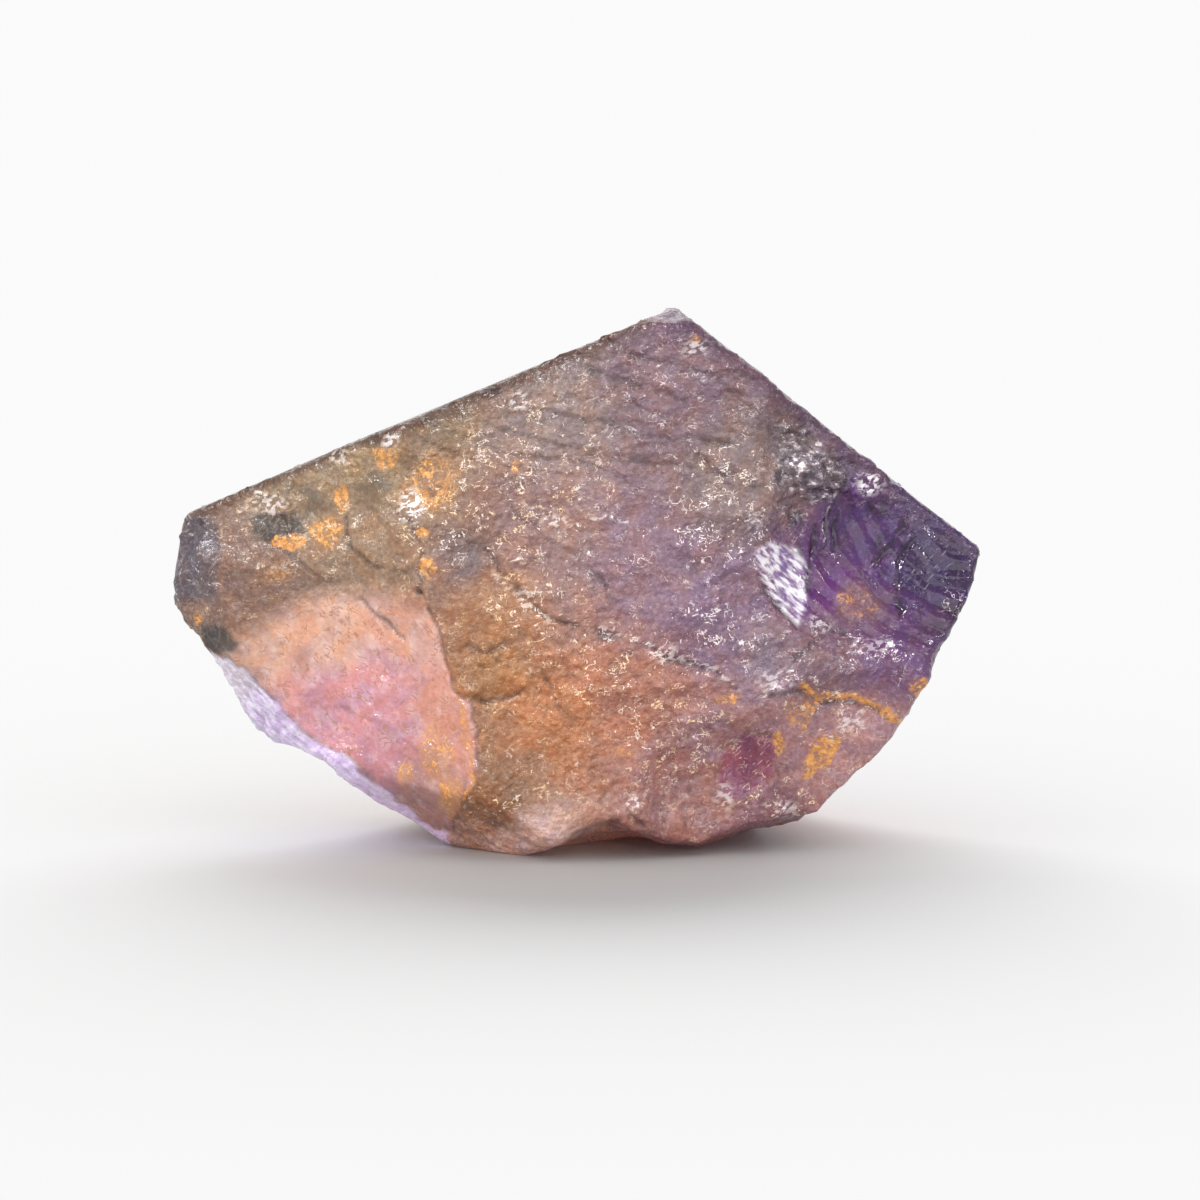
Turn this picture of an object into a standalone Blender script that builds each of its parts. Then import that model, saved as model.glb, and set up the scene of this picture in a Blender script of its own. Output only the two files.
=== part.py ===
"""A rough piece of ametrine: one broken length of a six-sided quartz crystal, standing on a flat base.

The crystal's long axis runs from front to back. Four of its natural prism faces bound the top and the
two ends, and the front, the back and the whole underside are broken. Flake scars dish the broken faces
and leave sharp ridges between them. The stone leans back a little on its base, so that its broad front
looks slightly upwards. +X is the stone's long way, +Y runs from front to back, and +Z is up.
"""

import math

import bmesh
import bpy
from mathutils import Matrix, Vector, noise

MM = 0.001

# Driving dimensions, in millimetres and degrees
BLOCK_SIDE = 80.0
LEAN = 6.0
BASE_DROP = 15.7
GRAIN = 0.40
BALL_FINENESS = 4
MOST_TRIANGLES = 8800

# Natural prism faces: the bearing of the face round the crystal axis (0 is +X, 90 is up) and its
# distance from the axis. Quartz faces stand 60 degrees apart, give or take the wear.
PRISM_FACES = {
    "right_end": (-14.0, 23.8),
    "upper_right": (51.7, 17.1),
    "upper_left": (112.8, 13.15),
    "left_end": (171.6, 24.6),
}

# Flat breaks in the crystal's own frame: a point on each and the way it faces
BREAKS = {
    "front": ((2.0, -11.5, 0.0), (0.02, -1.00, 0.03)),
    "back": ((2.0, 11.0, 0.0), (0.08, 1.00, 0.10)),
    "right_low": ((23.4, -7.0, -2.2), (0.87, 0.05, -0.50)),
    "right_mid": ((21.4, -8.0, -7.0), (0.90, 0.08, -0.44)),
    "lower_right": ((17.1, -8.0, -11.9), (0.66, 0.12, -0.75)),
    "under_right": ((13.8, -8.0, -14.3), (0.24, -0.06, -0.97)),
    "heel_left": ((-13.6, -6.1, -12.9), (-0.46, 0.15, -0.87)),
    "left_low": ((-20.8, -4.1, -7.8), (-0.83, 0.20, -0.52)),
    "left_bevel": ((-23.3, -7.2, 0.8), (-0.85, -0.50, 0.10)),
    "rim_left": ((-18.8, -6.8, -6.6), (-0.66, -0.64, -0.39)),
    "rim_low": ((-13.0, -8.5, -11.7), (-0.40, -0.50, -0.77)),
}

# Flake scars: the deepest point of each dish, the way the dish faces, and the radius of the ball that
# leaves it
SCARS = {
    "pink_window": ((-14.5, -8.1, -6.0), (-0.35, -0.93, -0.12), 55.0),
    "upper_left_hollow": ((-17.5, -8.0, 3.5), (-0.35, -0.93, 0.15), 30.0),
    "violet_corner": ((18.0, -9.2, 1.0), (0.25, -0.95, 0.21), 24.0),
    "silver_step": ((12.6, -10.6, -0.6), (0.60, -0.75, 0.28), 10.0),
    "dark_hollow": ((13.9, -10.0, 7.2), (0.25, -0.93, 0.30), 7.0),
    "lower_right_hollow": ((14.5, -8.9, -13.0), (0.20, -0.96, -0.20), 32.0),
    "plum_scar": ((10.6, -9.9, -11.6), (-0.15, -0.96, -0.25), 8.0),
    "foot_notch": ((3.2, -9.5, -15.0), (0.00, -0.05, -1.00), 15.0),
    "foot_hollow": ((4.5, -4.0, -15.2), (0.05, 0.05, -1.00), 16.0),
    "foot_arch": ((2.1, -10.2, -14.6), (0.00, -0.40, -0.92), 4.0),
    "end_chip": ((21.9, -9.0, -4.9), (0.85, -0.40, -0.30), 3.5),
    "heel_notch": ((-15.4, -4.5, -11.0), (-0.45, -0.08, -0.89), 8.0),
    "upper_bevel": ((-3.7, -11.0, 11.7), (-0.32, -0.60, 0.73), 38.0),
    "peak_chip": ((5.90, -8.0, 16.3), (0.05, -0.30, 0.95), 14.0),
    "crest_chip": ((-5.3, -10.6, 11.5), (-0.30, -0.60, 0.74), 2.5),
    "bruise": ((-10.4, -10.9, 5.0), (-0.20, -0.95, 0.20), 5.0),
    "left_dish": ((-18.9, -7.3, 3.6), (-0.30, -0.93, 0.20), 5.0),
    "back_left": ((-16.0, 1.3, -5.0), (-0.62, 0.70, -0.35), 70.0),
    "back_top": ((4.0, 8.6, 9.0), (0.05, 0.85, 0.52), 32.0),
    "back_right": ((16.0, 5.5, -3.0), (0.60, 0.79, -0.10), 38.0),
    "back_low": ((4.0, 9.6, -9.0), (-0.10, 0.93, -0.35), 24.0),
}

# Relief of the broken faces: height and spacing, in millimetres
SWELL = (0.40, 11.0)
LARGE_CHIPS = (0.60, 6.5)
SMALL_CHIPS = (0.26, 2.9)
MEAN_CHIP = 0.25
LEDGE_HEIGHT = 0.30
LEDGE_SPACING = 7.5
LEDGES_PER_SWELL = 4.0
LEDGE_EDGE = 0.20
RIPPLE_HEIGHT = 0.08
RIPPLE_SPACING = 2.1

# Share of the relief that the smooth places keep, and how far in from their edges it fades
SMOOTH_SCARS = ("pink_window", "violet_corner")
SMOOTH_RELIEF = 0.22
NATURAL_RELIEF = 0.08
NATURAL_REACH = 0.35
SMOOTH_REACH = 0.50


def clear_scene():
    for old in list(bpy.data.objects):
        bpy.data.objects.remove(old)


def new_collection(name):
    made = bpy.data.collections.new(name)
    bpy.context.scene.collection.children.link(made)
    return made


def new_object(name, mesh, collection):
    made = bpy.data.objects.new(name, mesh)
    collection.objects.link(made)
    return made


def prism_planes():
    """A point on each natural face and its outward direction."""
    planes = []
    for bearing, distance in PRISM_FACES.values():
        turn = math.radians(bearing)
        outward = Vector((math.cos(turn), 0.0, math.sin(turn)))
        planes.append((outward * distance, outward))
    return planes


def break_planes():
    return [(Vector(point), Vector(outward).normalized()) for point, outward in BREAKS.values()]


def cut_flat(bm, point, outward):
    """Takes off what lies beyond a plane, and closes the cut with one flat face."""
    cut = bmesh.ops.bisect_plane(
        bm,
        geom=bm.verts[:] + bm.edges[:] + bm.faces[:],
        plane_co=point * MM,
        plane_no=outward,
        clear_outer=True,
    )
    rim = [item for item in cut["geom_cut"] if isinstance(item, bmesh.types.BMEdge)]
    bmesh.ops.edgenet_fill(bm, edges=rim)


def cut_blank():
    """The flat-faced piece of crystal, before any flake leaves it."""
    bm = bmesh.new()
    bmesh.ops.create_cube(bm, size=BLOCK_SIDE * MM)
    for point, outward in prism_planes() + break_planes():
        cut_flat(bm, point, outward)
    bmesh.ops.recalc_face_normals(bm, faces=bm.faces)
    mesh = bpy.data.meshes.new("blank")
    bm.to_mesh(mesh)
    bm.free()
    return mesh


def scar_balls():
    """The centre and radius of each ball whose surface is a scar's dish."""
    balls = []
    for deepest, facing, radius in SCARS.values():
        centre = Vector(deepest) + Vector(facing).normalized() * radius
        balls.append((centre, radius))
    return balls


def add_ball_cutter(name, centre, radius, collection):
    bm = bmesh.new()
    bmesh.ops.create_icosphere(bm, subdivisions=BALL_FINENESS, radius=radius * MM)
    mesh = bpy.data.meshes.new(name)
    bm.to_mesh(mesh)
    bm.free()
    cutter = new_object(name, mesh, collection)
    cutter.location = centre * MM
    cutter.hide_render = True
    cutter.display_type = "WIRE"
    return cutter


def flake(stone, cutters):
    """Takes each flake off the stone and lays an even grain of small faces over what is left."""
    for name, (centre, radius) in zip(SCARS, scar_balls()):
        boolean = stone.modifiers.new(name, "BOOLEAN")
        boolean.operation = "DIFFERENCE"
        boolean.object = add_ball_cutter("cutter_" + name, centre, radius, cutters)
    remesh = stone.modifiers.new("grain", "REMESH")
    remesh.mode = "VOXEL"
    remesh.voxel_size = GRAIN * MM


def apply_modifiers(thing):
    graph = bpy.context.evaluated_depsgraph_get()
    made = bpy.data.meshes.new_from_object(thing.evaluated_get(graph))
    thing.modifiers.clear()
    thing.data = made


def chips(spot, size):
    """Shallow dishes that meet in sharp ridges, as where many small flakes have left the stone."""
    height, spacing = size
    nearest = noise.voronoi(spot / spacing)[0][0]
    return height * (nearest * nearest - MEAN_CHIP)


def ledges(spot):
    """Low flat steps, as where a break jumps from one layer of the crystal to the next."""
    level = noise.noise(spot / LEDGE_SPACING) * LEDGES_PER_SWELL
    tread = math.floor(level)
    rise = min(1.0, (level - tread) / LEDGE_EDGE)
    return LEDGE_HEIGHT * (tread + rise * rise * (3.0 - 2.0 * rise)) / LEDGES_PER_SWELL


def ripples(spot, centre, radius):
    """Rings that widen from the point where the flake was struck."""
    struck = centre + Vector((0.5, 0.3, 0.8)).normalized() * radius
    wave = (spot - struck).length + 0.8 * noise.noise(spot / SMALL_CHIPS[1])
    return RIPPLE_HEIGHT * math.sin(wave * math.tau / RIPPLE_SPACING)


def natural_share(spot, planes):
    """NATURAL_RELIEF on the crystal's own flat faces, rising to 1 a little way off them."""
    gap = min(abs((spot - point).dot(outward)) for point, outward in planes)
    share = min(1.0, gap / NATURAL_REACH)
    return NATURAL_RELIEF + (1.0 - NATURAL_RELIEF) * share * share


def relief(spot, smooth_balls, planes):
    """How far the surface stands out at a point of the crystal, in millimetres."""
    height = chips(spot, LARGE_CHIPS) + chips(spot, SMALL_CHIPS) + ledges(spot)
    height += SWELL[0] * noise.noise(spot / SWELL[1])
    for centre, radius in smooth_balls:
        gap = abs((spot - centre).length - radius)
        smooth = max(0.0, 1.0 - gap / SMOOTH_REACH)
        height *= 1.0 - (1.0 - SMOOTH_RELIEF) * smooth
        height += ripples(spot, centre, radius) * smooth * smooth
    return height * natural_share(spot, planes)


def roughen(stone):
    planes = prism_planes()
    smooth_balls = [ball for name, ball in zip(SCARS, scar_balls()) if name in SMOOTH_SCARS]
    outward = [vertex.normal.copy() for vertex in stone.data.vertices]
    for vertex, normal in zip(stone.data.vertices, outward):
        vertex.co += normal * relief(vertex.co / MM, smooth_balls, planes) * MM
    stone.data.update()


def thin_faces(stone):
    """Few, large faces on the smooth stretches and small ones along the ridges."""
    decimate = stone.modifiers.new("thin_faces", "DECIMATE")
    decimate.ratio = MOST_TRIANGLES / (2.0 * len(stone.data.polygons))
    apply_modifiers(stone)


def stand_on_base(stone):
    """Leans the stone back, cuts its base flat and sets the origin in the middle of its footprint box."""
    stone.data.transform(Matrix.Rotation(math.radians(-LEAN), 4, "X"))
    bm = bmesh.new()
    bm.from_mesh(stone.data)
    cut_flat(bm, Vector((0.0, 0.0, -BASE_DROP)), Vector((0.0, 0.0, -1.0)))
    spots = [vertex.co for vertex in bm.verts]
    low = Vector(min(spot[axis] for spot in spots) for axis in range(3))
    high = Vector(max(spot[axis] for spot in spots) for axis in range(3))
    origin = Vector(((low.x + high.x) / 2.0, (low.y + high.y) / 2.0, low.z))
    bmesh.ops.translate(bm, verts=bm.verts, vec=-origin)
    bm.to_mesh(stone.data)
    bm.free()


def quartz_material():
    material = bpy.data.materials.new("ametrine")
    material.use_nodes = True
    shader = material.node_tree.nodes["Principled BSDF"]
    shader.inputs["Base Color"].default_value = (0.36, 0.21, 0.22, 1.0)
    shader.inputs["Roughness"].default_value = 0.45
    shader.inputs["Metallic"].default_value = 0.0
    shader.inputs["IOR"].default_value = 1.544
    return material


def build():
    clear_scene()
    parts = new_collection("rough_ametrine")
    cutters = new_collection("cutters")
    stone = new_object("ametrine", cut_blank(), parts)
    flake(stone, cutters)
    apply_modifiers(stone)
    roughen(stone)
    thin_faces(stone)
    stand_on_base(stone)
    stone.data.materials.clear()
    stone.data.materials.append(quartz_material())


build()
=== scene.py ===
"""Looks of a rough piece of ametrine: violet, pink and orange quartz with frosted breaks and iron stain.

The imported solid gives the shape. This script lays a finer copy over it, adds the low relief that a break in
quartz has, and colours it in sectors that run through the crystal from front to back.

Places on the stone are in millimetres, across and up as the camera sees them: a point's "up" is its height
on the picture's upright, so a patch keeps its place in the picture however deep the surface lies.
"""

import math

import bmesh
import bpy
import numpy as np
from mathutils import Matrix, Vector, noise


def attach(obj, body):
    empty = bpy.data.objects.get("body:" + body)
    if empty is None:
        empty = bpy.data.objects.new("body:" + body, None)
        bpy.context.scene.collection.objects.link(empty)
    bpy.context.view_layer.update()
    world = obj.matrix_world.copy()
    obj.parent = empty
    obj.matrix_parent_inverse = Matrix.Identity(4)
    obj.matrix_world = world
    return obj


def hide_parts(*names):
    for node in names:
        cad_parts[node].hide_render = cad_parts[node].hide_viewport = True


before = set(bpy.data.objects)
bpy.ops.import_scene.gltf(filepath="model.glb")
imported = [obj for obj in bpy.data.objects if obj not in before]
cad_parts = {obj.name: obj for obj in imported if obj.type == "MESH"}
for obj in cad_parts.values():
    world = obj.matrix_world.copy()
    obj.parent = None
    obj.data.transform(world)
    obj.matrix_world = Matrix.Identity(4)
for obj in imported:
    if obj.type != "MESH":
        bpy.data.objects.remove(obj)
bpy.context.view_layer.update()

MM = 0.001
STONE_NODE = "ametrine"

# Camera: how many degrees it looks down. In millimetres, what it looks at and how wide a strip it sees there
VIEW_ELEVATION = 8.0
VIEW_AIM = (1.57, 0.0, 14.4)
VIEW_WIDTH = 75.2
LENS = 200.0
SENSOR = 36.0

# Fine copy of the stone, in millimetres. Faces turned to the viewer get twice as fine a grain, and the relief
# fades out in a band above the flat base
GRAIN = 0.33
FRONT_LIMIT = -0.45
SOFTEN_STEPS = 2
BASE_BAND = 0.12

# The crystal's four natural faces, as bearings round its axis in degrees, how far the stone leans back, and
# how nearly a surface has to face one of those bearings to count as natural
NATURAL_BEARINGS = (-14.0, 51.7, 112.8, 171.6)
LEAN = 6.0
NATURAL_LIMIT = 0.985

# Fine relief, in millimetres: height and spacing
FLAKES = (0.34, 2.1)
CHIPS = (0.15, 0.85)
HACKLE = (0.10, 0.50)
FOLDS = (0.15, 1.15)
ARCS = (0.10, 1.25)
GROWTH_LINES = (0.030, 0.4)

# Scars are wider than they are tall, folds run across the front, and growth lines run along the crystal
FLAKE_SHAPE = (0.7, 1.0, 1.2)
CHIP_SHAPE = (0.8, 1.0, 1.2)
FOLD_SHAPE = (0.35, 1.0, 1.0)
GROWTH_SHAPE = (0.05, 1.0, 0.05)
DISH_LEVEL = 0.25
FOLD_FOOT = 17.0
FOLD_FADE = 7.0
FLAKE_STRUCK = (25.0, 22.0)

# How deep a hollow is at its full shade, and how much light hollows lose, crests gain and creases lose:
# shade and highlight painted into the colour
CAVITY_DEPTH = 0.16
CAVITY_SHADE = 0.34
CREST_LIGHT = 0.16
CREASE_SHADE = 0.85

# Where in the noise each random pattern reads. Two patterns may share a place where their spacing differs
SEEDS = {
    "edge_across": 3.0,
    "edge_up": 9.0,
    "patchy": 61.0,
    "folds": 7.0,
    "fold_parts": 41.0,
    "arcs": 31.0,
    "warp": 5.0,
    "rough_parts": 17.0,
    "growth": 0.0,
    "hollow": 13.0,
    "sector_across": 3.0,
    "sector_up": 11.0,
    "fine_across": 23.0,
    "fine_up": 27.0,
    "side_stain": 21.0,
}

# Colour sectors of the stone's body: middle across and up, reach, and colour in display values (0 to 255).
# The sector, facet and band colours were given, then corrected against the photograph's middle colour
# in 30 zones, so they allow for the lamps as well
BODY_SECTORS = {
    "left_edge": (-23.6, 16.8, 1.5, (122, 110, 118)),
    "smoky_left": (-20.2, 16.0, 2.8, (158, 124, 106)),
    "olive_left": (-17.0, 21.6, 2.6, (182, 158, 126)),
    "olive_ridge": (-12.6, 21.6, 2.6, (186, 160, 120)),
    "olive_low": (-13.0, 17.6, 2.2, (178, 150, 120)),
    "brown_edge": (-8.6, 22.0, 2.6, (172, 136, 104)),
    "grey_patch": (-6.6, 17.4, 1.6, (140, 118, 116)),
    "golden_top": (-8.0, 25.0, 2.2, (156, 132, 100)),
    "grey_top": (-1.4, 25.4, 3.4, (172, 150, 142)),
    "mauve_top": (5.6, 27.4, 3.8, (148, 118, 130)),
    "peak": (6.0, 31.0, 1.8, (126, 86, 114)),
    "rose_middle": (-2.0, 18.4, 3.6, (174, 138, 130)),
    "violet_middle": (4.6, 16.6, 3.2, (156, 124, 142)),
    "grey_right": (9.6, 22.0, 3.0, (152, 130, 126)),
    "orange_bulge": (-4.4, 9.8, 2.0, (198, 142, 84)),
    "orange_heart": (-1.4, 7.0, 2.8, (202, 136, 82)),
    "coral": (3.4, 8.2, 3.0, (194, 132, 104)),
    "brown_middle": (-4.6, 13.4, 2.4, (196, 142, 96)),
    "olive_foot": (-4.4, 3.0, 2.2, (158, 112, 72)),
    # pale_foot is painted light that makes the stone's foot near white
    "pale_foot": (-3.0, -1.0, 2.0, (255, 220, 208)),
    "mauve_right": (8.8, 13.6, 2.8, (144, 114, 142)),
    "grey_violet": (11.6, 11.2, 1.8, (156, 134, 150)),
    "violet_heart": (15.6, 15.4, 2.4, (120, 46, 142)),
    "violet_top": (17.4, 18.6, 2.4, (94, 46, 126)),
    "deep_violet_tip": (22.0, 16.6, 2.6, (66, 28, 104)),
    "dark_violet_foot": (19.6, 11.8, 2.0, (110, 66, 128)),
    "brown_band": (15.4, 10.4, 2.0, (142, 110, 124)),
    "mauve_foot": (6.0, 3.6, 2.4, (188, 138, 132)),
    "lilac_foot": (8.0, 5.6, 1.2, (178, 140, 146)),
    "rosy_corner": (16.8, 4.6, 3.0, (216, 168, 170)),
    "plum_edge": (12.0, 1.6, 1.8, (168, 120, 128)),
}

# Sectors of the smooth pink window at the lower left. Their pale pinks carry painted light, the glow of the
# thin window
WINDOW_GLOW_SECTORS = {
    "heart": (-13.4, 8.0, 3.0, (218, 156, 166)),
    "lilac": (-12.4, 9.0, 0.7, (246, 196, 220)),
    "peach_top": (-15.2, 12.4, 2.4, (238, 190, 164)),
    "peach_right": (-10.6, 12.4, 1.8, (224, 174, 152)),
    "tan_left": (-19.4, 11.8, 1.6, (226, 180, 154)),
    "haze": (-16.9, 10.6, 0.9, (196, 154, 146)),
    "rose_low": (-12.2, 5.0, 2.0, (200, 144, 162)),
    "tan_right": (-8.2, 7.6, 1.8, (214, 158, 142)),
    "tan_foot": (-8.6, 2.6, 1.6, (184, 138, 128)),
}

# Sectors of the clear rim below the window, from its pale upper end to its violet foot. Their pale lilacs are
# painted light on this clear edge
LIT_RIM_SECTORS = {
    "pale_end": (-21.4, 9.4, 1.8, (214, 198, 214)),
    "lilac_turn": (-18.8, 6.4, 1.6, (208, 184, 226)),
    "silver_nick": (-19.8, 5.0, 0.6, (176, 164, 178)),
    "lilac_run": (-15.0, 3.8, 1.8, (228, 202, 246)),
    "violet_foot": (-10.6, 0.6, 2.2, (240, 208, 250)),
}

# How far borders wander and over what distance: of sectors, of sectors once more in fine steps, and of
# outlines. Sector borders wander further by SIDE_WARP where the surface turns away from the viewer
SECTOR_WARP = (0.9, 4.0)
FINE_WARP = (0.5, 1.2)
EDGE_WARP = (0.30, 0.9)
SIDE_WARP = 2.0

# Upper edge of the window, the distance over which it melts into the body there, and the rim's line below it
WINDOW_TOP = ((-22.6, 11.6), (-20.6, 13.0), (-18.2, 14.6), (-15.0, 15.6), (-12.0, 15.6), (-9.4, 14.9))
WINDOW_FADE = 2.2
RIM_LINE = ((-20.4, 9.9), (-18.2, 7.8), (-16.7, 6.0), (-14.0, 4.5), (-11.5, 2.4), (-9.4, 0.5))

# Outlines of the distinct facets on the front, going round, and how softly each one ends
OUTLINES = {
    "pink_window": (
        ((-22.1, 11.2), *RIM_LINE, (-7.6, 0.0), (-7.0, 1.5), (-5.9, 3.8), (-6.0, 6.3), (-6.3, 7.9),
         (-7.4, 8.8), (-7.6, 10.0), (-8.4, 12.6), *WINDOW_TOP[:0:-1]),
        0.5,
    ),
    "rim": (
        ((-22.6, 11.1), *RIM_LINE, (-7.8, -0.2), (-7.8, -4.0), (-28.0, -4.0), (-28.0, 11.1)),
        0.4,
    ),
    "silver_facet": (
        ((11.0, 17.2), (12.1, 17.9), (13.8, 17.3), (14.4, 16.1), (14.2, 14.3), (13.8, 12.7), (12.7, 13.7),
         (11.2, 15.8)),
        0.5,
    ),
    "dark_hollow": (
        ((12.3, 24.8), (13.8, 25.1), (14.8, 24.3), (16.2, 23.0), (16.8, 22.1), (15.6, 20.2), (13.8, 20.4),
         (12.3, 21.9)),
        0.8,
    ),
    "plum_facet": (
        ((8.9, 3.6), (9.2, 5.0), (10.4, 5.8), (11.8, 5.9), (12.5, 5.1), (12.3, 3.9), (11.4, 2.8), (10.1, 2.0),
         (9.1, 2.2)),
        0.4,
    ),
    "dark_mirror": (
        ((-20.0, 19.3), (-18.6, 19.7), (-16.8, 19.4), (-16.6, 18.2), (-18.2, 17.9), (-19.6, 18.1)),
        0.5,
    ),
    "olive_mirror": (((-16.5, 21.0), (-15.2, 20.8), (-14.8, 19.9), (-15.6, 19.5), (-16.6, 19.7)), 0.9),
    "olive_shelf": (((-13.4, 21.2), (-12.2, 22.0), (-11.2, 21.3), (-11.8, 20.4), (-13.0, 20.5)), 0.9),
    "left_pocket": (((-23.2, 12.7), (-21.5, 12.5), (-20.6, 11.6), (-21.3, 11.1), (-22.8, 10.9)), 0.4),
    "orange_wedge": (
        ((13.9, 3.3), (14.5, 5.1), (15.0, 6.0), (16.2, 6.2), (16.3, 5.0), (15.0, 3.9), (14.5, 3.3)),
        0.5,
    ),
    "violet_corner": (
        ((14.2, 18.6), (16.4, 20.6), (19.6, 19.8), (23.6, 18.0), (25.4, 15.0), (23.0, 11.4), (19.4, 11.4),
         (15.6, 12.3), (14.0, 13.8)),
        1.2,
    ),
    "left_strip": (((-26.0, 19.6), (-22.2, 19.4), (-21.8, 17.0), (-22.2, 14.6), (-26.0, 13.6)), 0.6),
    "blue_scratches": (((20.4, 18.0), (23.0, 18.0), (24.2, 16.0), (21.4, 14.6), (20.2, 15.6)), 0.9),
    "brown_spot": (
        ((15.9, 14.4), (16.6, 15.4), (18.0, 15.4), (19.1, 14.2), (18.6, 12.8), (17.0, 12.4), (16.0, 13.2)),
        1.2,
    ),
    "brown_scratches": (((13.4, 10.2), (15.4, 12.0), (18.6, 11.0), (18.8, 9.0), (15.0, 8.6)), 0.9),
}

# Flat colour of some facets, in display values. The near black of the dark mirror and the left pocket is
# painted shade
FACET_COLOURS = {
    "brown_spot": (150, 112, 128),
    "silver_facet": (146, 118, 168),
    "dark_hollow": (132, 120, 128),
    "plum_facet": (172, 94, 134),
    "dark_mirror": (74, 72, 66),
    "olive_mirror": (142, 132, 112),
    "olive_shelf": (148, 138, 114),
    "left_pocket": (58, 58, 54),
    "blue_scratches": (56, 28, 92),
    "left_strip": (108, 98, 108),
}

# Iron stain in oval patches: middle across and up, reach both ways, and strength
GOLD = (
    ((-17.6, 17.8), (1.5, 0.7), 1.0),
    ((-15.2, 18.4), (1.6, 1.4), 0.75),
    ((-14.2, 20.4), (0.7, 1.2), 0.8),
    ((-9.2, 18.4), (0.6, 0.6), 1.0),
    ((-8.9, 16.2), (0.7, 0.9), 1.0),
    ((-11.6, 22.9), (1.1, 1.0), 1.0),
    ((-8.6, 21.4), (2.6, 2.8), 0.55),
    ((-23.2, 13.2), (0.45, 0.5), 1.0),
    ((-18.4, 16.0), (2.4, 1.4), 0.40),
    ((-8.4, 5.0), (1.8, 2.4), 0.62),
    ((-7.6, 2.2), (1.0, 2.0), 0.90),
    ((-10.4, 3.6), (0.9, 1.0), 0.70),
    ((-3.6, 22.4), (0.3, 0.6), 0.9),
    ((16.6, 14.3), (1.2, 0.6), 0.52),
    ((17.4, 14.0), (1.9, 1.8), 0.34),
    ((15.2, 4.8), (1.2, 1.5), 1.0),
    ((12.5, 5.4), (0.5, 1.1), 0.8),
    ((13.6, 7.4), (1.4, 1.6), 0.50),
    ((21.2, 8.9), (1.2, 0.9), 0.80),
    ((7.4, 30.2), (0.6, 0.6), 0.6),
    ((9.4, 8.2), (1.2, 0.5), 0.5),
    ((3.0, 5.0), (1.2, 0.8), 0.45),
)

# White bruises, and a painted highlight in the dark hollow, in the same terms
FROST_AND_HIGHLIGHTS = (
    ((-9.9, 20.0), (1.1, 1.5), 1.0),
    ((-18.8, 20.2), (2.1, 1.0), 0.66),
    ((-11.2, 24.0), (0.8, 0.6), 0.75),
    ((-14.2, 22.9), (0.9, 0.6), 0.62),
    ((-3.4, 26.3), (1.0, 0.7), 0.80),
    ((13.5, 22.8), (0.9, 0.8), 0.95),
    ((18.1, 21.4), (1.1, 0.9), 1.0),
    ((17.0, 7.0), (1.4, 1.4), 0.68),
    ((12.4, 9.4), (1.6, 1.2), 0.48),
    ((7.4, 29.6), (1.2, 0.9), 0.60),
    ((-1.2, 19.0), (1.4, 0.8), 0.60),
    ((-2.8, 14.4), (0.9, 1.4), 0.55),
    ((11.0, 19.2), (0.9, 1.0), 0.50),
    ((18.2, 11.4), (1.8, 0.8), 0.42),
    ((15.0, 12.8), (0.9, 0.9), 0.60),
    ((3.6, 1.8), (0.6, 0.9), 0.80),
    ((9.2, 2.2), (0.9, 1.6), 0.60),
    ((12.8, 1.4), (1.5, 0.8), 0.60),
    ((5.4, 11.0), (1.2, 0.9), 0.65),
    ((-20.8, 9.4), (1.2, 0.6), 0.50),
)

# Clear places that show the shaded inside, painted dark as painted shade, in the same terms
DARK = (
    ((-5.0, 27.0), (0.9, 0.5), 0.95),
    ((-23.2, 19.0), (0.5, 0.6), 0.80),
    ((-9.5, 14.9), (0.28, 0.25), 1.0),
    ((18.8, 19.9), (1.1, 0.9), 0.85),
    ((18.9, 17.9), (0.9, 0.9), 0.75),
    ((13.5, 19.3), (0.8, 1.0), 0.90),
    ((13.7, 17.2), (0.7, 0.5), 0.75),
    ((12.6, 21.9), (0.5, 1.0), 0.85),
    ((15.4, 22.0), (0.9, 1.2), 0.60),
    ((23.4, 13.4), (1.0, 1.2), 0.60),
    ((22.0, 12.4), (1.2, 0.8), 0.50),
    ((23.6, 16.8), (0.7, 1.2), 0.50),
)

# Fields where painted glints on the edges of tiny flakes lie thickly, in the same terms
GLINT_FIELDS = (
    ((-4.0, 20.6), (6.5, 4.5), 1.0),
    ((-1.8, 24.6), (4.0, 2.4), 0.8),
    ((9.0, 20.0), (4.0, 5.0), 1.0),
    ((7.4, 11.4), (4.5, 3.0), 1.0),
    ((-3.0, 13.4), (3.0, 3.0), 1.0),
    ((1.6, 10.0), (4.0, 3.5), 0.9),
    ((6.0, 6.0), (4.0, 4.0), 0.9),
    ((-16.0, 19.4), (5.5, 2.2), 0.3),
    ((-8.4, 19.6), (3.0, 4.0), 0.9),
    ((-5.2, 1.4), (3.0, 2.0), 0.3),
    ((18.0, 11.6), (3.6, 1.6), 1.0),
    ((23.4, 15.0), (1.2, 4.0), 0.9),
    ((16.0, 7.0), (4.0, 2.0), 0.7),
    ((12.6, 1.8), (4.0, 1.4), 0.9),
)
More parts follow.
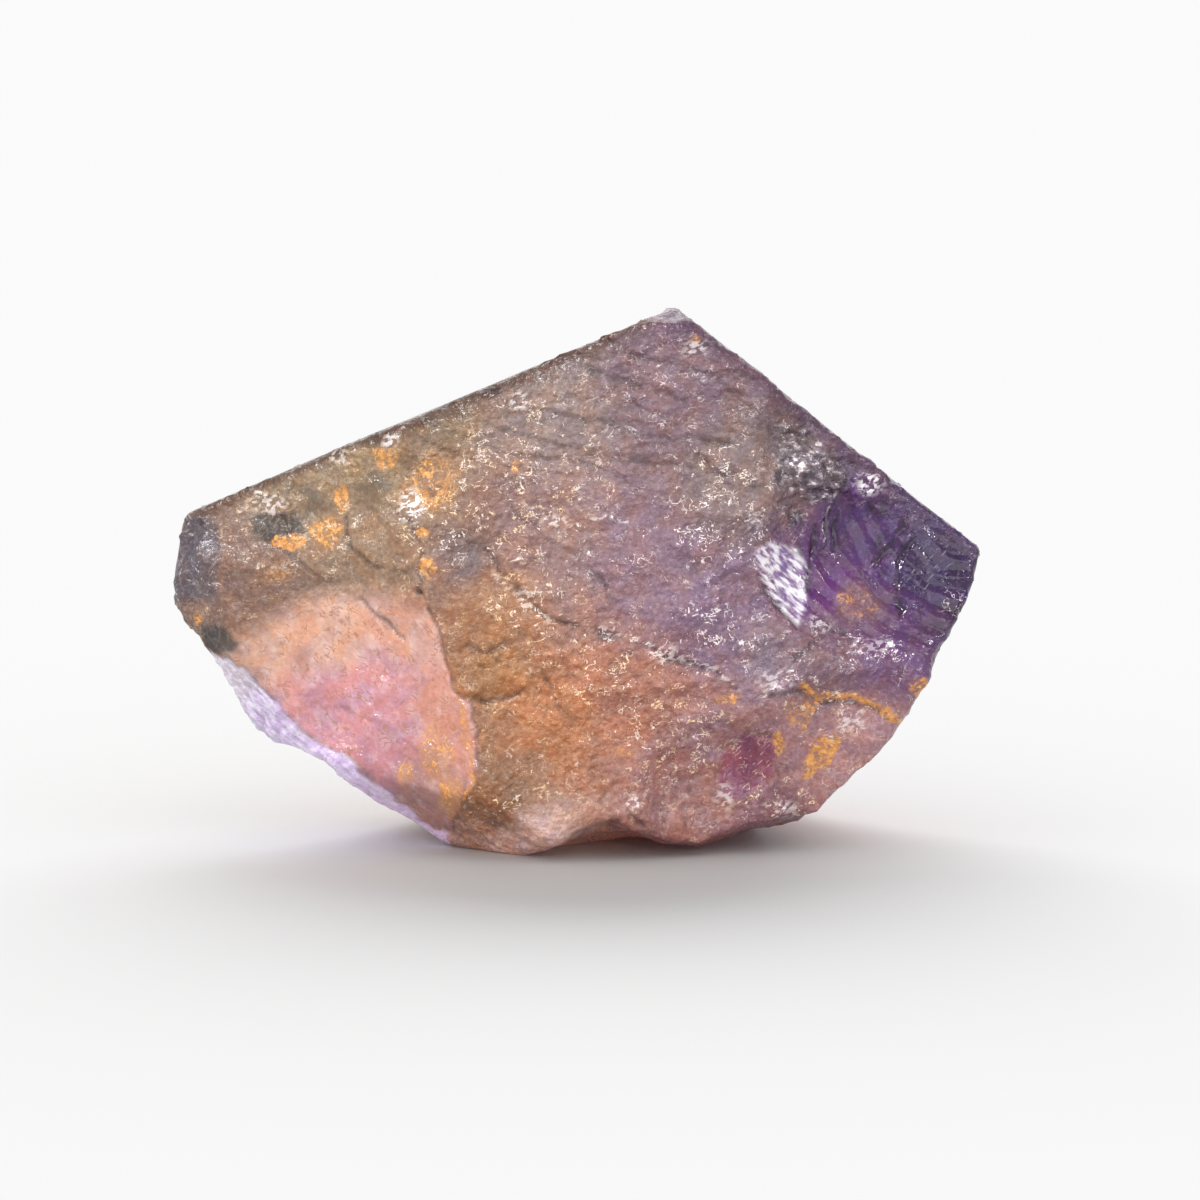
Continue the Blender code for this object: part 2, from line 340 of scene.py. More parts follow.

# Fracture lines: how wide, how deep, how dark their painted shade is, and the way they run
CREASES = {
    "arris": (
        0.26, 0.08, 0.70,
        ((-9.4, 14.9), (-8.4, 12.6), (-7.6, 10.0), (-7.4, 8.8), (-6.3, 7.9), (-6.0, 6.3), (-5.9, 3.8),
         (-7.0, 1.5), (-7.6, 0.1)),
    ),
    "upper_arris": (0.30, 0.12, 0.65, ((-9.4, 14.9), (-9.2, 17.4), (-10.0, 19.0), (-10.8, 19.8))),
    "shoulder": (
        0.30, 0.12, 0.65,
        ((-19.2, 18.0), (-16.4, 16.2), (-14.4, 15.0), (-12.8, 14.0), (-10.6, 12.0)),
    ),
    "left_fold": (0.28, 0.12, 0.60, ((-14.0, 19.4), (-13.6, 17.4), (-12.6, 16.4), (-10.4, 15.8))),
    "long_fall": (
        0.32, 0.18, 0.70,
        ((-8.4, 18.6), (-5.6, 17.6), (-3.0, 14.4), (-1.4, 13.2), (1.0, 12.3), (3.8, 11.6), (5.4, 10.9),
         (8.4, 9.9), (9.8, 8.8)),
    ),
    "second_fall": (0.28, 0.14, 0.60, ((-4.2, 20.2), (-2.1, 18.4), (-0.1, 17.0), (1.8, 15.4), (2.4, 14.0))),
    "bulge": (0.28, 0.14, 0.60, ((-7.6, 8.8), (-5.6, 8.0), (-4.4, 8.2), (-3.2, 8.9))),
    "orange_fall": (0.28, 0.12, 0.50, ((-2.1, 10.3), (-0.9, 7.8), (0.6, 6.4), (2.0, 5.4))),
    "left_scar": (0.28, 0.12, 0.55, ((-8.0, 11.0), (-6.6, 11.4), (-5.2, 11.0), (-3.8, 11.6))),
    "silver_foot": (0.34, 0.20, 0.85, ((11.2, 15.7), (11.8, 14.6), (12.7, 13.7), (13.6, 12.6))),
    "groove_left": (0.26, 0.20, 0.80, ((14.8, 18.8), (14.6, 17.3), (14.4, 16.1), (14.4, 14.6))),
    "groove_main": (0.26, 0.24, 0.90, ((16.7, 22.0), (15.9, 20.2), (15.5, 19.1), (15.5, 17.4))),
    "groove_main_side": (0.24, 0.18, 0.80, ((17.0, 21.8), (16.3, 20.1), (16.0, 19.0), (16.1, 17.2))),
    "groove_right": (0.26, 0.20, 0.80, ((20.6, 19.6), (20.0, 18.4), (19.4, 17.5), (18.4, 16.5))),
    "groove_far": (0.26, 0.20, 0.75, ((20.9, 18.0), (20.0, 17.0), (19.8, 15.5), (20.0, 13.2))),
    "violet_foot": (0.30, 0.16, 0.45, ((13.0, 9.9), (13.9, 11.0), (15.6, 12.3), (17.4, 12.4))),
    "ledge": (
        0.34, 0.20, 0.60,
        ((12.0, 8.2), (13.9, 8.7), (15.0, 8.0), (16.2, 8.0), (18.0, 7.8), (19.4, 7.0), (20.4, 6.4)),
    ),
    "plum_top": (0.28, 0.12, 0.35, ((8.9, 5.0), (10.2, 5.8), (11.8, 6.0), (12.6, 5.2))),
    "rim_edge": (0.24, 0.06, 0.40, RIM_LINE),
    "window_crack": (0.20, 0.03, 0.30, ((-20.2, 9.8), (-16.9, 8.6), (-14.0, 7.6), (-11.6, 6.4), (-9.5, 5.0))),
    "notch": (0.50, 0.20, 0.60, ((2.2, 0.6), (3.2, 1.2), (4.4, 0.6))),
    "top_fold_1": (0.34, 0.12, 0.40, ((0.6, 28.4), (2.6, 27.8), (4.6, 26.9), (6.4, 26.5), (8.4, 26.6))),
    "top_fold_2": (0.34, 0.12, 0.36, ((3.4, 29.2), (5.8, 28.6), (8.2, 28.0), (9.8, 27.0))),
    "top_fold_3": (0.34, 0.10, 0.30, ((-1.4, 25.4), (1.4, 25.2), (4.0, 24.4), (6.8, 24.0), (9.4, 23.8))),
    "top_fold_4": (0.34, 0.10, 0.28, ((1.0, 23.0), (4.0, 22.6), (7.0, 22.4), (10.0, 21.8))),
}

# Stained strips, and strips of white bruise and painted highlight, along a line: width, strength, and the way
# they run
GOLD_STRIPS = {
    "ledge": (0.50, 1.0, ((13.9, 9.0), (15.0, 8.3), (16.2, 8.4), (18.0, 8.1), (19.1, 7.4), (20.1, 6.8))),
    "ledge_fall": (0.40, 0.75, ((15.0, 8.2), (14.6, 7.2), (14.0, 6.4))),
    "window_edge": (0.45, 0.70, ((-7.0, 8.0), (-6.4, 5.4), (-6.2, 3.4), (-7.2, 1.4))),
}
# Strips of white bruise and painted highlight
BRUISE_AND_HIGHLIGHT_STRIPS = {
    "long_fall": (0.30, 0.75, ((1.0, 12.5), (3.8, 11.8), (5.4, 11.1), (8.4, 10.1), (9.6, 9.2))),
    "middle_fan": (0.45, 0.60, ((-5.0, 16.0), (-4.0, 15.0), (-2.8, 13.8), (-1.6, 13.2))),
    "upper_fan": (0.45, 0.65, ((-3.0, 20.2), (-1.8, 19.4), (-0.6, 18.6))),
    "straight_scratch": (0.16, 0.90, ((1.0, 19.3), (3.2, 19.0))),
    "groove_light": (0.14, 0.80, ((16.3, 21.6), (15.7, 20.0), (15.3, 18.9), (15.3, 17.6))),
    "pit_light": (0.24, 1.0, ((13.5, 19.8), (13.6, 19.0))),
    "left_nick": (0.22, 0.9, ((-19.6, 20.9), (-18.4, 20.6))),
}

# Bands of natural face along the top, their own brown, gold, plum and violet darkened into a painted dark
# reflection: half-width, colour, and the way they run
DARK_REFLECTION_BANDS = {
    "brown_band": (0.42, (88, 56, 34), ((-23.0, 19.9), (-16.0, 22.8), (-12.0, 24.4))),
    "gold_band": (0.80, (78, 38, 4), ((-12.0, 24.4), (-4.5, 27.5), (4.2, 31.5))),
    "plum_band": (0.85, (98, 66, 96), ((6.4, 31.8), (13.8, 26.0), (20.4, 21.0))),
    "violet_band": (0.85, (76, 44, 100), ((20.4, 21.0), (25.0, 17.0))),
}

# Tones that the patterns lay over the sector colours, in linear light: first those of the quartz itself, of
# which INSIDE_SHADE is painted shade for the dark places and the hollow
CLOUD_SHADE = (0.66, 0.58, 0.58)
WARM_SHADE = (1.06, 0.90, 0.78)
COOL_SHADE = (0.86, 0.88, 1.02)
GRAIN_SHADE = (0.66, 0.56, 0.54)
GRAIN_LIGHT = (0.16, 0.14, 0.12)
VEIL_LIGHT = (0.42, 0.34, 0.36)
CRACK_BROWN = (0.44, 0.20, 0.12)
INSIDE_SHADE = (0.16, 0.13, 0.17)
RIM_STREAK = (0.90, 0.86, 0.98)

# Tones of the iron stain, of the painted glints on the edges of tiny flakes, and of frost and painted
# highlights
STAIN_WASH = (0.60, 0.29, 0.10)
STAIN_DEEP = (0.60, 0.22, 0.04)
STAIN_PALE = (0.82, 0.40, 0.10)
PAINTED_GLINT_WHITE = (0.84, 0.78, 0.80)
PAINTED_GLINT_GOLD = (0.88, 0.62, 0.34)
FROST_AND_HIGHLIGHT_WHITE = (0.88, 0.84, 0.88)

# Quartz: share of light let through on breaks, on smooth scars, and in the window and the rim, and what the
# inside absorbs. The shares were chosen for likeness: clear quartz lets more through
QUARTZ_IOR = 1.544
BREAK_CLARITY = 0.42
SCAR_CLARITY = 0.55
WINDOW_CLARITY = 0.22
INSIDE_COLOUR = (0.86, 0.62, 0.66, 1.0)
INSIDE_DENSITY = 45.0

# Finish: roughness of breaks from and to, of smooth scars and of clear faces, and the bumps, in millimetres
BREAK_ROUGHNESS = (0.24, 0.44)
SCAR_ROUGHNESS = 0.15
CLEAR_ROUGHNESS = 0.14
BUMP_SPACING = 0.36
BUMP_HEIGHT = 0.16
BREAK_BUMPS = 0.95
SMOOTH_BUMPS = 0.36

# Studio lamps: where each shines from, how wide it looks in degrees, how strong it is, and what it lights.
# One lamp lights the floor alone, which gives the stone the photograph's single soft shadow
SUNS = {
    "shadow_panel": ((0.00, 1.00, 0.46), 76.0, 3.95, "floor"),
    "back_panel": ((0.20, 1.00, 0.60), 60.0, 1.0, "stone"),
    "front_panel": ((0.10, -1.00, 0.35), 60.0, 1.1, "stone"),
    "key": ((-0.55, -0.32, 1.00), 9.0, 2.2, "stone"),
    "glint_left": ((-0.80, -0.80, 0.40), 4.0, 0.5, "stone"),
    "glint_right": ((0.85, -0.75, 0.70), 4.0, 0.6, "stone"),
}
ROOM_LIGHT = 0.66
FLOOR_WHITE = 0.80
FLOOR_RADIUS = 4.0


def display_to_linear(colour):
    """A display colour, 0 to 255, as the linear light that a shader takes."""
    shares = [value / 255.0 for value in colour]
    return [s / 12.92 if s <= 0.04045 else ((s + 0.055) / 1.055) ** 2.4 for s in shares]


def smooth_step(value):
    value = np.clip(value, 0.0, 1.0)
    return value * value * (3.0 - 2.0 * value)


def sampled(function, spots):
    """One number for each point."""
    return np.array([function(Vector(spot)) for spot in spots])


def noise_at(spots, spacing, pattern):
    """The noise of one named pattern, with lumps about this many millimetres apart."""
    return sampled(noise.noise, spots / spacing + SEEDS[pattern])


def wander(spots, warp, across, up):
    """How far each point's place is shifted across and up, by two named patterns."""
    reach, spacing = warp
    return reach * np.column_stack([noise_at(spots, spacing, across), noise_at(spots, spacing, up)])


def points_of(mesh):
    flat = np.empty(len(mesh.vertices) * 3)
    mesh.vertices.foreach_get("co", flat)
    return flat.reshape(-1, 3) / MM


def normals_of(mesh):
    flat = np.empty(len(mesh.vertices) * 3, np.float32)
    mesh.vertex_normals.foreach_get("vector", flat)
    return flat.reshape(-1, 3).astype(float)


def line_gap(place, line):
    """How far each place is from a line of points, in millimetres."""
    nearest = np.full(len(place), 1e9)
    for start, end in zip(line[:-1], line[1:]):
        start = np.array(start)
        run = np.array(end) - start
        share = np.clip((place - start) @ run / (run @ run), 0.0, 1.0)
        gap = np.linalg.norm(place - start - share[:, None] * run, axis=1)
        nearest = np.minimum(nearest, gap)
    return nearest


def inside_outline(place, outline):
    across, up = place[:, 0], place[:, 1]
    inside = np.zeros(len(place), bool)
    for (x1, z1), (x2, z2) in zip(outline, outline[1:] + outline[:1]):
        if z1 != z2:
            crosses = (up < z1) != (up < z2)
            inside ^= crosses & (across < x1 + (up - z1) * (x2 - x1) / (z2 - z1))
    return inside


def outline_mask(place, name):
    """1 inside one of the named outlines, falling smoothly to 0 across its edge."""
    outline, soft = OUTLINES[name]
    gap = line_gap(place, outline + outline[:1])
    depth = np.where(inside_outline(place, outline), gap, -gap)
    return smooth_step(0.5 + depth / soft)


def strip_mask(place, line, width):
    return smooth_step(1.0 - line_gap(place, line) / width)


def blob(place, middle, reach):
    """1 in the middle of an oval patch, falling smoothly to 0 at its edge."""
    gap = np.hypot((place[:, 0] - middle[0]) / reach[0], (place[:, 1] - middle[1]) / reach[1])
    return smooth_step(1.6 * (1.0 - gap))


def strongest(place, patches):
    mask = np.zeros(len(place))
    for middle, reach, strength in patches:
        mask = np.maximum(mask, strength * blob(place, middle, reach))
    return mask


def strongest_strip(place, strips):
    mask = np.zeros(len(place))
    for width, strength, line in strips.values():
        mask = np.maximum(mask, strength * strip_mask(place, line, width))
    return mask


def fine_copy(node):
    """The solid's shape with an even, fine grain, and its facets softened."""
    stone = bpy.data.objects.new("rough_stone", node.data.copy())
    bpy.context.scene.collection.objects.link(stone)
    stone.data.materials.clear()
    remesh = stone.modifiers.new("grain", "REMESH")
    remesh.mode = "VOXEL"
    remesh.voxel_size = GRAIN * MM
    remesh.use_smooth_shade = True
    soften = stone.modifiers.new("soften", "SMOOTH")
    soften.factor = 0.5
    soften.iterations = SOFTEN_STEPS
    graph = bpy.context.evaluated_depsgraph_get()
    made = bpy.data.meshes.new_from_object(stone.evaluated_get(graph))
    stone.modifiers.clear()
    stone.data = made
    refine_front(made)
    return stone


def refine_front(mesh):
    """Splits each face of the broad front into four."""
    bm = bmesh.new()
    bm.from_mesh(mesh)
    front = [face for face in bm.faces if face.normal.y < FRONT_LIMIT]
    edges = list({edge for face in front for edge in face.edges})
    bmesh.ops.subdivide_edges(bm, edges=edges, cuts=1, use_grid_fill=True)
    bmesh.ops.triangulate(bm, faces=[face for face in bm.faces if len(face.verts) > 4])
    for face in bm.faces:
        face.smooth = True
    bm.to_mesh(mesh)
    bm.free()


class Surface:
    """The stone's points before the fine relief, with the masks that both the relief and the paint use."""

    def __init__(self, mesh):
        self.spots = points_of(mesh)
        self.outward = normals_of(mesh)
        view = math.radians(VIEW_ELEVATION)
        up = self.spots[:, 2] * math.cos(view) + self.spots[:, 1] * math.sin(view)
        self.place = np.column_stack([self.spots[:, 0], up])
        self.ragged = self.place + wander(self.spots, EDGE_WARP, "edge_across", "edge_up")
        self.front = smooth_step(-self.outward[:, 1] * 3.0)
        self.patchy = 0.35 + 0.65 * smooth_step(0.6 + 1.6 * noise_at(self.spots, 1.1, "patchy"))
        self.natural = self.natural_mask()
        self.masks = {name: self.front * outline_mask(self.ragged, name) for name in OUTLINES}
        self.masks["rim"] = outline_mask(self.ragged, "rim") * smooth_step(0.9 - self.outward[:, 1] * 2.0)
        self.masks["pink_window"] *= smooth_step(0.1 + line_gap(self.place, WINDOW_TOP) / WINDOW_FADE)
        self.glossy = self.glossy_mask()

    def natural_mask(self):
        """1 on the crystal's own flat faces, which run along its axis."""
        lean = math.radians(LEAN)
        mask = np.zeros(len(self.outward))
        for bearing in NATURAL_BEARINGS:
            turn = math.radians(bearing)
            up = math.sin(turn)
            face = np.array([math.cos(turn), up * math.sin(lean), up * math.cos(lean)])
            mask = np.maximum(mask, smooth_step((self.outward @ face - NATURAL_LIMIT) / 0.01))
        return mask

    def glossy_mask(self):
        """1 on smooth scars: the pink window, the violet corner and the little mirrors."""
        names = ("violet_corner", "silver_facet", "plum_facet", "olive_mirror", "olive_shelf")
        mask = 0.85 * self.masks["pink_window"]
        for name in names:
            mask = np.maximum(mask, self.masks[name])
        return mask


def dish_height(spots, spacing):
    """Shallow dishes that meet in ridges: squared distance to the nearest of many scattered points."""
    return sampled(lambda spot: noise.voronoi(spot)[0][0], spots / spacing) ** 2


def fold_height(surface):
    """Overlapping scales across the top of the front, each ending in a small step."""
    across, up = surface.place[:, 0], surface.place[:, 1]
    height, spacing = FOLDS
    wave = up + 0.22 * across + 1.5 * noise_at(surface.spots * FOLD_SHAPE, 2.4, "folds")
    step = (wave / spacing) % 1.0
    patchy = smooth_step(0.6 + 1.8 * noise_at(surface.spots, 3.0, "fold_parts"))
    high = smooth_step((up - FOLD_FOOT) / FOLD_FADE) * surface.front * (1.0 - surface.glossy)
    return height * high * patchy * (0.5 - step)


def arc_height(surface):
    """Rings on the glossy violet corner, widening from where the flake was struck."""
    height, spacing = ARCS
    across, up = (surface.place - FLAKE_STRUCK).T
    reach = np.hypot(across, up) + 0.5 * noise_at(surface.spots, 2.0, "arcs")
    return height * surface.masks["violet_corner"] * np.sin(reach * math.tau / spacing) ** 3


def crease_height(surface):
    depth = np.zeros(len(surface.place))
    for width, deep, _, line in CREASES.values():
        depth = np.maximum(depth, deep * strip_mask(surface.ragged, line, width))
    return -depth * surface.front * surface.patchy


def break_height(surface):
    """Flake scars, chips and fine hackle, strong on breaks and faint on natural faces and smooth scars."""
    spots = surface.spots
    warped = spots + 0.5 * noise_at(spots, 1.7, "warp")[:, None]
    flakes = FLAKES[0] * (dish_height(warped * FLAKE_SHAPE, FLAKES[1]) - DISH_LEVEL)
    flakes += CHIPS[0] * (dish_height(warped * CHIP_SHAPE, CHIPS[1]) - DISH_LEVEL)
    hackle = HACKLE[0] * sampled(lambda spot: noise.fractal(spot, 0.7, 2.0, 3), spots / HACKLE[1])
    rough = smooth_step(0.5 + 1.6 * noise_at(spots, 4.2, "rough_parts"))
    broken = (1.0 - 0.94 * surface.natural) * (1.0 - 0.80 * surface.glossy) * (0.45 + 0.55 * rough)
    return (flakes + hackle) * broken


def growth_height(surface):
    """Faint lines along the crystal on its natural faces."""
    height, spacing = GROWTH_LINES
    return height * surface.natural * noise_at(surface.spots * GROWTH_SHAPE, spacing, "growth")


def add_relief(stone, surface):
    """Moves the points by the fine relief and gives back its height in millimetres."""
    spots = surface.spots
    height = break_height(surface) + fold_height(surface) + arc_height(surface) + growth_height(surface)
    height += crease_height(surface)
    height += 0.5 * surface.masks["dark_hollow"] * HACKLE[0] * noise_at(spots, 0.4, "hollow")
    height *= smooth_step((spots[:, 2] - BASE_BAND) / (2.0 * BASE_BAND))
    moved = (spots + surface.outward * height[:, None]) * MM
    stone.data.vertices.foreach_set("co", moved.ravel())
    stone.data.update()
    return height


def blended(place, sectors):
    """Linear colour at each place: near a sector's middle its own, and a smooth mix between them."""
    total = np.full(len(place), 1e-9)
    colour = np.zeros((len(place), 3))
    for across, up, reach, seen in sectors.values():
        gap = np.hypot(place[:, 0] - across, place[:, 1] - up) / reach
        share = 1.0 / (0.12 + gap * gap) ** 2
        total += share
        colour += share[:, None] * np.array(display_to_linear(seen))
    return colour / total[:, None]


def laid_over(colour, mask, seen):
    """One display colour laid over the colours so far, as strongly as the mask says."""
    mask = mask[:, None]
    return colour * (1.0 - mask) + np.array(display_to_linear(seen)) * mask


def shaded(colour, surface, height):
    """Painted shade darkens the relief's hollows and creases a little, and a painted highlight lightens its
    crests a little.
    """
    cavity = smooth_step((-height - 0.01) / CAVITY_DEPTH)
    crest = smooth_step((height - 0.02) / CAVITY_DEPTH)
    colour = colour * (1.0 - CAVITY_SHADE * cavity + CREST_LIGHT * crest)[:, None]
    crease = np.zeros(len(height))
    for width, _, dark, line in CREASES.values():
        crease = np.maximum(crease, dark * strip_mask(surface.ragged, line, 0.8 * width))
    return colour * (1.0 - CREASE_SHADE * crease * surface.front * surface.patchy)[:, None]


def sector_colours(surface, height):
    """Linear colour at each point: the sectors, facets and bands of painted dark reflection over them, and
    the relief's painted shade and highlight.
    """
    warp = wander(surface.spots, SECTOR_WARP, "sector_across", "sector_up")
    warp *= (1.0 + SIDE_WARP * (1.0 - surface.front))[:, None]
    place = surface.place + warp + wander(surface.spots, FINE_WARP, "fine_across", "fine_up")
    window = surface.masks["pink_window"][:, None]
    colour = blended(place, BODY_SECTORS) * (1.0 - window) + blended(place, WINDOW_GLOW_SECTORS) * window
    rim = surface.masks["rim"][:, None]
    colour = colour * (1.0 - rim) + blended(place, LIT_RIM_SECTORS) * rim
    for name, seen in FACET_COLOURS.items():
        colour = laid_over(colour, 0.85 * surface.masks[name], seen)
    for width, seen, line in DARK_REFLECTION_BANDS.values():
        colour = laid_over(colour, 0.9 * strip_mask(surface.place, line, 2.0 * width), seen)
    return shaded(colour, surface, height)


def store_four(mesh, name, channels):
    """Keeps four numbers for each vertex, for the material to read by name."""
    layer = mesh.attributes.new(name, "FLOAT_COLOR", "POINT")
    layer.data.foreach_set("color", np.column_stack(channels).astype(np.float32).ravel())


def glint_mask(surface):
    """How thickly the painted glints on tiny flake edges lie: many on frosted breaks, few on smooth scars."""
    mask = 0.36 + 0.44 * strongest(surface.ragged, GLINT_FIELDS)
    mask *= 1.0 - 0.80 * surface.masks["pink_window"]
    mask *= 1.0 - 0.45 * surface.masks["violet_corner"]
    mask *= 1.0 - 0.92 * surface.natural
    for width, _, line in DARK_REFLECTION_BANDS.values():
        mask *= 1.0 - 0.8 * strip_mask(surface.place, line, 1.6 * width)
    for name in ("dark_mirror", "olive_mirror", "olive_shelf", "rim", "left_pocket"):
        mask *= 1.0 - 0.8 * surface.masks[name]
    return np.maximum(mask, strongest_strip(surface.ragged, BRUISE_AND_HIGHLIGHT_STRIPS) * surface.front)


def gold_mask(surface):
    """Iron stain: the patches and strips seen on the front, and invented patches on the breaks elsewhere."""
    elsewhere = (1.0 - surface.front) * (1.0 - surface.natural)
    seen = np.maximum(strongest(surface.ragged, GOLD), strongest_strip(surface.ragged, GOLD_STRIPS))
    invented = 0.5 * smooth_step(noise_at(surface.spots, 6.0, "side_stain") * 2.0)
    mask = np.maximum(surface.front * seen, surface.masks["orange_wedge"])
    return np.maximum(mask, elsewhere * invented)


def scratch_mask(masks):
    mask = masks["blue_scratches"]
    for name, strength in (("left_strip", 0.8), ("brown_scratches", 0.7), ("dark_mirror", 0.8)):
        mask = np.maximum(mask, strength * masks[name])
    return mask


def store_marks(stone, surface, height):
    """Where the surface carries stain and frost, where painted glints, highlights and shade lie, and how each
    facet is finished.
    """
    masks, front, ragged = surface.masks, surface.front, surface.ragged
    crest = smooth_step((height - 0.05) / 0.12)
    glint = np.minimum(glint_mask(surface) * (0.85 + 0.4 * crest), 1.0)
    dark = front * strongest(ragged, DARK)
    # Frost, with painted highlights from the bright strips
    frost_and_highlight = front * np.maximum(strongest(ragged, FROST_AND_HIGHLIGHTS), 0.9 * strongest_strip(ragged, BRUISE_AND_HIGHLIGHT_STRIPS))
    facets = (masks["silver_facet"], masks["dark_hollow"], scratch_mask(masks), masks["plum_facet"])
    store_four(stone.data, "marks", (gold_mask(surface), glint, dark, frost_and_highlight))
    store_four(stone.data, "finish", (surface.glossy, surface.natural, masks["rim"], masks["pink_window"]))
    store_four(stone.data, "facets", facets)


class Nodes:
    """Short ways to lay out a material's nodes."""

    def __init__(self, tree):
        self.tree = tree

    def add(self, kind, **settings):
        node = self.tree.nodes.new(kind)
        for name, value in settings.items():
            setattr(node, name, value)
        return node

    def put(self, socket, value):
        if isinstance(value, bpy.types.NodeSocket):
            self.tree.links.new(value, socket)
        elif isinstance(value, (tuple, list)) and len(value) == 3 and len(socket.default_value) == 4:
            socket.default_value = (*value, 1.0)
        else:
            socket.default_value = value

    def split(self, colour):
        parts = self.add("ShaderNodeSeparateColor")
        self.put(parts.inputs[0], colour)
        return parts.outputs[0], parts.outputs[1], parts.outputs[2]

    def four(self, name):
        """The four numbers that a vertex attribute keeps."""
        attribute = self.add("ShaderNodeAttribute", attribute_name=name)
        return *self.split(attribute.outputs["Color"]), attribute.outputs["Alpha"]

    def math(self, operation, first, second=0.0):
        node = self.add("ShaderNodeMath", operation=operation)
        self.put(node.inputs[0], first)
        self.put(node.inputs[1], second)
        return node.outputs[0]

    def times(self, *values):
        result = values[0]
        for value in values[1:]:
            result = self.math("MULTIPLY", result, value)
        return result

    def most(self, *values):
        result = values[0]
        for value in values[1:]:
            result = self.math("MAXIMUM", result, value)
        return result

    def ramp(self, value, low, high, to_low=0.0, to_high=1.0):
        node = self.add("ShaderNodeMapRange", interpolation_type="SMOOTHSTEP", clamp=True)
        self.put(node.inputs[0], value)
        for socket, number in zip(node.inputs[1:5], (low, high, to_low, to_high)):
            self.put(socket, number)
        return node.outputs[0]

    def mix(self, share, first, second, blend="MIX"):
        node = self.add("ShaderNodeMix", data_type="RGBA", blend_type=blend, clamp_factor=True)
        self.put(node.inputs[0], share)
        self.put(node.inputs[6], first)
        self.put(node.inputs[7], second)
        return node.outputs[2]

    def blend(self, share, first, second):
        node = self.add("ShaderNodeMix", data_type="FLOAT", clamp_factor=True)
        self.put(node.inputs[0], share)
        self.put(node.inputs[2], first)
        self.put(node.inputs[3], second)
        return node.outputs[0]

    def stretched(self, spot, scale, slant=0.0):
        """Space squeezed along the picture's axes after a turn in the picture's plane, in degrees."""
        turned = self.add("ShaderNodeMapping")
        self.put(turned.inputs[0], spot)
        self.put(turned.inputs[2], (0.0, math.radians(slant), 0.0))
        squeezed = self.add("ShaderNodeMapping")
        self.put(squeezed.inputs[0], turned.outputs[0])
        self.put(squeezed.inputs[3], scale)
        return squeezed.outputs[0]

    def noise(self, spot, spacing, detail=3.0, distortion=0.0):
        """Cloudy noise with lumps about this many millimetres apart."""
        node = self.add("ShaderNodeTexNoise")
        self.put(node.inputs["Vector"], spot)
        self.put(node.inputs["Scale"], 1.0 / (spacing * MM))
        self.put(node.inputs["Detail"], detail)
        self.put(node.inputs["Distortion"], distortion)
        return node.outputs[0]

    def lines(self, value, width):
        """1 along the contour where a noise passes its middle, 0 elsewhere."""
        gap = self.math("ABSOLUTE", self.math("SUBTRACT", value, 0.5))
        return self.ramp(gap, width * 0.4, width, 1.0, 0.0)


class Marks:
    """What the material reads from the mesh, and two noises that several of its patterns share."""

    def __init__(self, n):
        self.spot = n.add("ShaderNodeTexCoord").outputs["Object"]
        self.sector = n.add("ShaderNodeAttribute", attribute_name="sector").outputs["Color"]
        self.gold, self.glint, self.dark, self.frost_and_highlight = n.four("marks")
        self.glossy, self.natural, self.rim, self.window = n.four("finish")
        self.silver, self.hollow, self.scratched, self.plum = n.four("facets")
        self.grain = n.noise(self.spot, 0.30, 4.0)
        self.patches = n.noise(self.spot, 0.9, 3.0)


def mottled_body(n, marks):
    """The sector colours under veils, warm and cool clouds and a fine grain."""
    cloud = n.noise(marks.spot, 1.9, 3.0)
    hue_cloud = n.noise(marks.spot, 1.4, 3.0)
    warm_cloud = n.ramp(hue_cloud, 0.46, 0.62, 0.0, 0.75)
    cool_cloud = n.ramp(hue_cloud, 0.54, 0.38, 0.0, 0.75)
    tint = n.mix(n.ramp(cloud, 0.35, 0.65, 0.0, 0.40), marks.sector, CLOUD_SHADE, "MULTIPLY")
    tint = n.mix(warm_cloud, tint, WARM_SHADE, "MULTIPLY")
    tint = n.mix(cool_cloud, tint, COOL_SHADE, "MULTIPLY")
    grainy = n.blend(marks.window, 0.65, 0.25)
    tint = n.mix(n.times(grainy, n.ramp(marks.grain, 0.40, 0.62)), tint, GRAIN_SHADE, "MULTIPLY")
    return n.mix(n.times(grainy, n.ramp(marks.grain, 0.44, 0.30)), tint, GRAIN_LIGHT, "SCREEN")


def window_marks(n, marks, tint):
    """Milky veils and brown hair cracks in the pink window."""
    crack = n.lines(n.noise(n.stretched(marks.spot, (1.0, 1.0, 1.6), -35.0), 1.2, 4.0, 1.1), 0.030)
    cracks = n.times(crack, n.ramp(marks.patches, 0.42, 0.56), marks.window)
    veil_noise = n.noise(n.stretched(marks.spot, (1.2, 1.0, 0.7), 20.0), 0.9, 3.0)
    veil = n.times(marks.window, n.ramp(veil_noise, 0.50, 0.66))
    tint = n.mix(n.times(veil, 0.40), tint, VEIL_LIGHT, "SCREEN")
    return n.mix(n.times(cracks, 0.75), tint, CRACK_BROWN)


def stain_cover(n, marks):
    """Iron stain in veins and crusts, which fill more of a patch the stronger the patch is."""
    vein = n.lines(n.noise(marks.spot, 0.75, 4.0, 1.0), 0.055)
    crust = n.times(n.ramp(n.noise(marks.spot, 0.34, 4.0), 0.40, 0.62), n.blend(marks.window, 1.0, 0.45))
    lump = n.ramp(marks.patches, 0.40, 0.60)
    needs = n.ramp(marks.gold, 0.0, 1.0, 0.80, 0.22)
    thickest = n.most(n.times(vein, 0.8), n.times(crust, n.blend(marks.gold, lump, 1.0)))
    stain = n.math("SUBTRACT", thickest, needs)
    return n.times(n.ramp(stain, 0.0, 0.50), n.ramp(marks.gold, 0.05, 0.40))


def stained(n, marks, tint, stain):
    tone = n.mix(n.ramp(marks.grain, 0.38, 0.62), STAIN_DEEP, STAIN_PALE)
    tint = n.mix(n.ramp(marks.gold, 0.1, 1.0, 0.0, 0.55), tint, STAIN_WASH)
    return n.mix(n.times(stain, 0.88), tint, tone)


